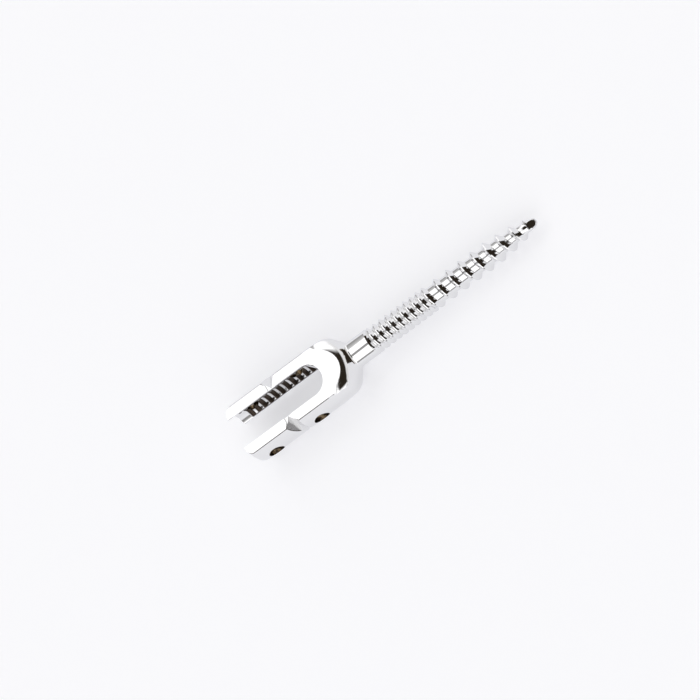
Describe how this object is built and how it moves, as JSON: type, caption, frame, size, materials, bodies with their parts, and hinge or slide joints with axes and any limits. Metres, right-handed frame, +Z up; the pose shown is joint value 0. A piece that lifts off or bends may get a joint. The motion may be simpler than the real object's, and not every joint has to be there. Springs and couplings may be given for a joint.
{
  "type": "pedicle screw",
  "caption": "One-piece bone screw with a two-armed slotted head, internally threaded, and a long helical bone thread.",
  "frame": {"origin": "centre of the footprint, on the ground that the screw lies on", "axes": "+X along the screw towards its tip, +Z up, square to the head's milled flats but for the small tilt of rest"},
  "size_m": [0.0725, 0.0128, 0.0083],
  "materials": {
    "polished_titanium": "polished titanium alloy, electropolished after machining"
  },
  "bodies": {
    "root": {"pedicle_screw": "polished_titanium"}
  },
  "joints": []
}
